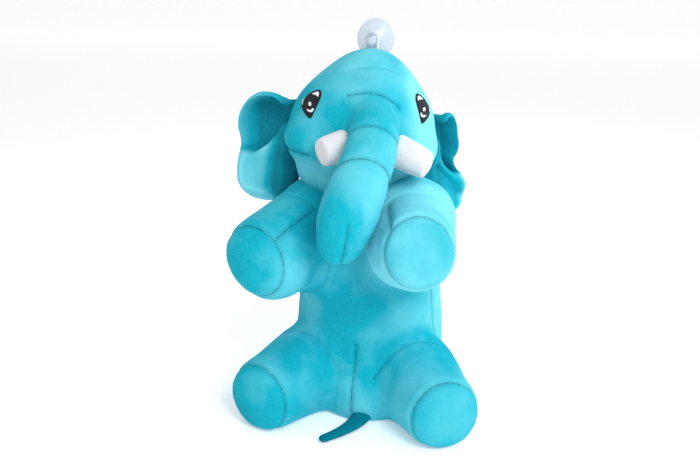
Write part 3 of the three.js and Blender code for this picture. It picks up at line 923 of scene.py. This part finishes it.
def stitched_patch(name, side, outline, low, high, rings=7):
    """A raised patch of thread with that outline, on the cheek."""
    bm = bmesh.new()
    middle_at = sum((Vector((*c, 0)) for c in outline), Vector()) / len(outline)
    rim = [bm.verts.new((u, v, 0)) for u, v in outline]
    edges = [bm.edges.new(pair) for pair in zip(rim, rim[1:] + rim[:1])]
    ring = list(rim)
    for k in range(1, rings):
        grown = bmesh.ops.extrude_edge_only(bm, edges=edges)["geom"]
        ring = [v for v in grown if isinstance(v, bmesh.types.BMVert)]
        edges = [e for e in grown if isinstance(e, bmesh.types.BMEdge) and all(v in ring for v in e.verts)]
        share = (rings - k) / (rings - k + 1)
        bmesh.ops.scale(bm, vec=(share, share, 1), space=Matrix.Translation(-middle_at), verts=ring)
    bmesh.ops.pointmerge(bm, verts=ring, merge_co=middle_at)
    skirt = bmesh.ops.extrude_edge_only(bm, edges=[e for e in bm.edges if e.is_boundary])["geom"]
    sunk = {v for v in skirt if isinstance(v, bmesh.types.BMVert)}
    outer = set(rim)
    for v in bm.verts:
        lift = -0.8 if v in sunk else (low if v in outer else high)
        v.co = on_cheek(side, v.co.x, v.co.y, lift)
    bmesh.ops.recalc_face_normals(bm, faces=bm.faces)
    return piece(name, bm)


ALMOND = [(5.3, 8.3), (0.1, 7.3), (-4.1, 5), (-7, 1.8), (-8.2, -2), (-6.4, -5.4), (0.4, -9), (9, -11.9),
          (10.6, -8.4), (11, -4.1), (10.9, 0.4), (9.6, 5)]
EYE_SHAPES = {
    "almond": (ALMOND, 0.25, 0.65, "black_thread"),
    "crescent": ([(-0.2, 4.2), (1.8, 5.5), (5.1, 6.7), (7.1, 5.4), (7.9, 3.6), (5.3, 4.1), (2.6, 4.1)],
                 0.75, 1.0, "white_thread"),
    "glint": ([(1.9, -1.8), (3.4, -1.2), (5.2, -2.2), (5.6, -3.7), (3.4, -3.6)], 0.75, 1.05, "white_thread"),
    "lower_crescent": ([(2.6, -6.4), (6.6, -6.9), (8.9, -6), (9.3, -4.4), (10, -6), (8.9, -7.5), (5.7, -7.7)],
                       0.75, 1.0, "white_thread"),
    "side_crescent": ([(-6.6, 0.4), (-6.5, -1.8), (-4.7, -4.6), (-6, -3.8), (-7.3, -1.6)],
                      0.75, 0.95, "white_thread"),
}
eyes = {}
for side in ("left", "right"):
    for part, (corners, low, high, thread) in EYE_SHAPES.items():
        name = "eye_" + side + "_" + part
        eyes[name] = (stitched_patch(name, side, smooth_outline(corners), low, high), thread)
print("eyes", len(eyes), "patches")

# %% [markdown]
# ## Finishes
# The cover is short-pile plush: a strong cyan that turns paler where the pile was brushed the
# other way, a soft sheen at its edges, and fine bumps of the pile itself. Painted highlights make the
# left cheek, the right flank, the left foreleg and the ear lobes paler, and painted shade darkens the
# seam valleys, the ears, the hind pads and the tail.

# %% Shader helpers


class Shader:
    """A small builder for node trees."""

    def __init__(self, tree):
        self.tree = tree

    def node(self, kind_name, **values):
        made = self.tree.nodes.new(kind_name)
        for key, value in values.items():
            setattr(made, key, value)
        return made

    def link(self, a, b):
        self.tree.links.new(a, b)

    def math(self, operation, a, b=None, c=None, clamp=False):
        made = self.node("ShaderNodeMath", operation=operation, use_clamp=clamp)
        for k, value in enumerate(v for v in (a, b, c) if v is not None):
            if isinstance(value, (int, float)):
                made.inputs[k].default_value = value
            else:
                self.link(value, made.inputs[k])
        return made.outputs[0]

    def noise(self, vector, scale, detail=2, roughness=0.5, distortion=0.0):
        made = self.node("ShaderNodeTexNoise")
        made.inputs["Scale"].default_value = scale
        made.inputs["Detail"].default_value = detail
        made.inputs["Roughness"].default_value = roughness
        made.inputs["Distortion"].default_value = distortion
        self.link(vector, made.inputs["Vector"])
        return made.outputs["Fac"]

    def mix(self, factor, a, b):
        made = self.node("ShaderNodeMix", data_type="RGBA")
        for socket, value in ((made.inputs["Factor"], factor), (made.inputs["A"], a), (made.inputs["B"], b)):
            if hasattr(value, "links"):
                self.link(value, socket)
            else:
                socket.default_value = value
        return made.outputs["Result"]

    def ramp(self, value, low, high):
        made = self.node("ShaderNodeMapRange", interpolation_type="SMOOTHSTEP")
        made.inputs["From Min"].default_value = low
        made.inputs["From Max"].default_value = high
        self.link(value, made.inputs["Value"])
        return made.outputs["Result"]


def group(name, inputs, outputs):
    """An empty node group with those named sockets."""
    tree = bpy.data.node_groups.new(name, "ShaderNodeTree")
    for label, form in inputs.items():
        tree.interface.new_socket(label, in_out="INPUT", socket_type="NodeSocket" + form)
    for label, form in outputs.items():
        tree.interface.new_socket(label, in_out="OUTPUT", socket_type="NodeSocket" + form)
    s = Shader(tree)
    return s, s.node("NodeGroupInput"), s.node("NodeGroupOutput")


# %% Pile


def pile_group():
    """Nap clouds and pile bumps, from a point on the piece."""
    s, start, end = group("pile", {"Point": "Vector"}, {"Nap": "Float", "Height": "Float", "Fleck": "Float"})
    point = start.outputs["Point"]
    broad = s.noise(point, 17, 1, 0.4, 0.2)
    patch = s.noise(point, 52, 2, 0.5, 0.2)
    nap = s.math("ADD", s.math("MULTIPLY", broad, 0.64), s.math("MULTIPLY", patch, 0.36))
    s.link(s.ramp(nap, 0.26, 0.74), end.inputs["Nap"])
    fine = s.noise(point, 1500, 2, 0.6)
    coarse = s.noise(point, 420, 2, 0.5)
    height = s.math("ADD", s.math("MULTIPLY", fine, 0.6), s.math("MULTIPLY", coarse, 0.8))
    s.link(height, end.inputs["Height"])
    s.link(s.ramp(s.noise(point, 900, 3, 0.7), 0.3, 0.75), end.inputs["Fleck"])
    return s.tree


def seam_group():
    """A valley for painted shade, a line of thread and its stitches, from the distances to a seam."""
    s, start, end = group("seam", {"Distance": "Float", "Point": "Vector"},
                          {"Valley": "Float", "Thread": "Float"})
    away = s.math("ABSOLUTE", start.outputs["Distance"])
    wave = s.noise(start.outputs["Point"], 900, 1)
    wide = s.math("ADD", away, s.math("MULTIPLY", s.math("SUBTRACT", wave, 0.5), 0.0006))
    s.link(s.math("SUBTRACT", 1.0, s.ramp(away, 0.0, 0.0032)), end.inputs["Valley"])
    line = s.math("SUBTRACT", 1.0, s.ramp(wide, 0.0001, 0.00055))
    dash = s.ramp(s.noise(start.outputs["Point"], 420, 1), 0.44, 0.54)
    s.link(s.math("MULTIPLY", line, s.math("MULTIPLY_ADD", dash, 0.75, 0.25)), end.inputs["Thread"])
    return s.tree


PILE = pile_group()
SEAM = seam_group()


def plush(name, deep, pale, dark, sheen, tint):
    """Short-pile plush in a deep and a pale colour, with painted shade in its seam valleys, a dark line of
    thread along its seams, and painted shade where its pale value is below zero.
    """
    material = bpy.data.materials.new(name)
    material.use_nodes = True
    s = Shader(material.node_tree)
    shader = material.node_tree.nodes["Principled BSDF"]
    point = s.node("ShaderNodeTexCoord").outputs["Object"]
    pile = s.node("ShaderNodeGroup", node_tree=PILE)
    s.link(point, pile.inputs["Point"])
    marks = []
    for layer in ("ring", "run"):
        seam = s.node("ShaderNodeGroup", node_tree=SEAM)
        distance = s.node("ShaderNodeAttribute", attribute_name=layer)
        s.link(distance.outputs["Fac"], seam.inputs["Distance"])
        s.link(point, seam.inputs["Point"])
        marks.append(seam)
    valley = s.math("MAXIMUM", marks[0].outputs["Valley"], marks[1].outputs["Valley"])
    thread = s.math("MAXIMUM", marks[0].outputs["Thread"], marks[1].outputs["Thread"])
    # The pale layer holds nap and painted highlights; below zero the sum mixes towards the dark colour, for
    # darker nap and for painted shade.
    pale_layer = s.node("ShaderNodeAttribute", attribute_name="pale").outputs["Fac"]
    clouds = s.math("SUBTRACT", s.math("MULTIPLY", pile.outputs["Nap"], 0.75), 0.33)
    paleness = s.math("ADD", clouds, pale_layer)
    nap = s.math("SUBTRACT", s.math("MULTIPLY", paleness, 1.1), 0.06, clamp=True)
    flat = s.math("MULTIPLY", paleness, -0.7, clamp=True)
    colour = s.mix(flat, s.mix(nap, deep, pale), dark)
    fleck = s.mix(s.math("MULTIPLY", pile.outputs["Fleck"], 0.1), colour, pale)
    # Painted shade in the seam valleys, with the darker thread line along each seam.
    shade = s.math("ADD", s.math("MULTIPLY", valley, 0.22), s.math("MULTIPLY", thread, 0.5), clamp=True)
    s.link(s.mix(shade, fleck, dark), shader.inputs["Base Color"])
    bump = s.node("ShaderNodeBump")
    bump.inputs["Strength"].default_value = 0.5
    bump.inputs["Distance"].default_value = 0.0009
    s.link(s.math("SUBTRACT", pile.outputs["Height"], s.math("MULTIPLY", thread, 0.8)), bump.inputs["Height"])
    s.link(bump.outputs["Normal"], shader.inputs["Normal"])
    shader.inputs["Roughness"].default_value = 0.92
    shader.inputs["Specular IOR Level"].default_value = 0.04
    shader.inputs["Sheen Weight"].default_value = sheen
    shader.inputs["Sheen Roughness"].default_value = 0.45
    shader.inputs["Sheen Tint"].default_value = tint
    return material


def srgb(r, g, b):
    """A colour as a screen shows it, from 0 to 255, as the shader wants it."""
    return (*[((v / 255 + 0.055) / 1.055) ** 2.4 if v > 10 else v / 255 / 12.92 for v in (r, g, b)], 1)


turquoise = plush("turquoise_plush", srgb(0, 166, 187), srgb(120, 213, 228), srgb(0, 84, 100), 0.1,
                  srgb(120, 215, 230))
# Painted shade: the tail lies in the shade under the body, so it gets a darker copy of the plush.
tail_shaded_turquoise = plush("tail_plush_painted_shade", srgb(0, 98, 118), srgb(0, 122, 142), srgb(0, 60, 74), 0.05,
                       srgb(150, 225, 235))
white = plush("white_plush", srgb(208, 207, 212), srgb(230, 227, 230), srgb(150, 160, 172), 0.15,
              srgb(255, 255, 255))

# %% Thread


def thread(name, colour, pale):
    """Satin stitch: fine parallel strands with a silky shine."""
    material = bpy.data.materials.new(name)
    material.use_nodes = True
    s = Shader(material.node_tree)
    shader = material.node_tree.nodes["Principled BSDF"]
    point = s.node("ShaderNodeTexCoord").outputs["Object"]
    wave = s.node("ShaderNodeTexWave", bands_direction="DIAGONAL")
    wave.inputs["Scale"].default_value = 620
    wave.inputs["Distortion"].default_value = 1.2
    s.link(point, wave.inputs["Vector"])
    s.link(s.mix(wave.outputs["Fac"], colour, pale), shader.inputs["Base Color"])
    bump = s.node("ShaderNodeBump")
    bump.inputs["Strength"].default_value = 0.6
    bump.inputs["Distance"].default_value = 0.0003
    s.link(wave.outputs["Fac"], bump.inputs["Height"])
    s.link(bump.outputs["Normal"], shader.inputs["Normal"])
    shader.inputs["Roughness"].default_value = 0.6
    shader.inputs["Specular IOR Level"].default_value = 0.2
    return material


threads = {
    "black_thread": thread("black_thread", srgb(12, 13, 20), srgb(30, 32, 42)),
    "white_thread": thread("white_thread", srgb(232, 236, 240), srgb(250, 252, 253)),
}
cord_white = thread("cord_white", srgb(222, 232, 244), srgb(250, 252, 255))

# %% Clear plastic
clear = bpy.data.materials.new("clear_vinyl")
clear.use_nodes = True
vinyl = Shader(clear.node_tree)
vinyl_shader = clear.node_tree.nodes["Principled BSDF"]
vinyl_point = vinyl.node("ShaderNodeTexCoord").outputs["Object"]
haze = vinyl.noise(vinyl_point, 120, 2)
vinyl.link(vinyl.mix(haze, srgb(214, 228, 242), srgb(232, 241, 250)), vinyl_shader.inputs["Base Color"])
vinyl_shader.inputs["Roughness"].default_value = 0.22
vinyl_shader.inputs["IOR"].default_value = 1.45
vinyl_shader.inputs["Transmission Weight"].default_value = 0.7

# %% [markdown]
# ## Dressing and joining
# Each piece takes its finish and hides the CAD solids it stands for. The skins of the legs and
# the trunk are baked in place, and every other piece follows one body.

# %% Joining


def dress(obj, material, nodes=()):
    obj.data.materials.clear()
    obj.data.materials.append(material)
    obj.data.polygons.foreach_set("material_index", [0] * len(obj.data.polygons))
    if nodes:
        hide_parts(*nodes)


dress(body_parts["torso_plush"], turquoise,
      ["belly_panel_left", "belly_panel_right", "back_panel_left", "back_panel_right", "torso_stuffing"])
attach(body_parts["torso_plush"], "torso")
for name in LEG_NAMES:
    skin = body_parts[name + "_plush"]
    dress(skin, turquoise,
          [name + part for part in ("_outer_cover", "_inner_cover", "_pad", "_stuffing")])
    start, along, *_ = leg_frame(name)
    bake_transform(skin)

dress(head_parts["head_plush"], turquoise,
      ["crown_strip", "cheek_panel_left", "cheek_panel_right", "chin_panel", "nape_panel", "head_stuffing"])
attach(head_parts["head_plush"], "head")
dress(head_parts["trunk_plush"], turquoise,
      ["trunk_upper_cover", "trunk_under_cover", "trunk_stuffing"])
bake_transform(head_parts["trunk_plush"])
for side in ("left", "right"):
    dress(ears[side], turquoise, [f"ear_{side}_front", f"ear_{side}_back"])
    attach(ears[side], "ear_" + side)
    dress(tusks[side], white, ["tusk_" + side])
    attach(tusks[side], "head")
    for name, (patch, colour) in eyes.items():
        if side in name:
            almond = name.endswith("almond")
            dress(patch, threads[colour], ["eye_" + side] if almond else ())
            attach(patch, "head")
dress(tail, tail_shaded_turquoise, ["tail"])
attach(tail, "tail")
dress(cup, clear, ["suction_cup"])
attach(cup, "suction_cup")
dress(loop, cord_white, ["hanging_loop"])
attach(loop, "head")
dress(wrap, cord_white)
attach(wrap, "head")
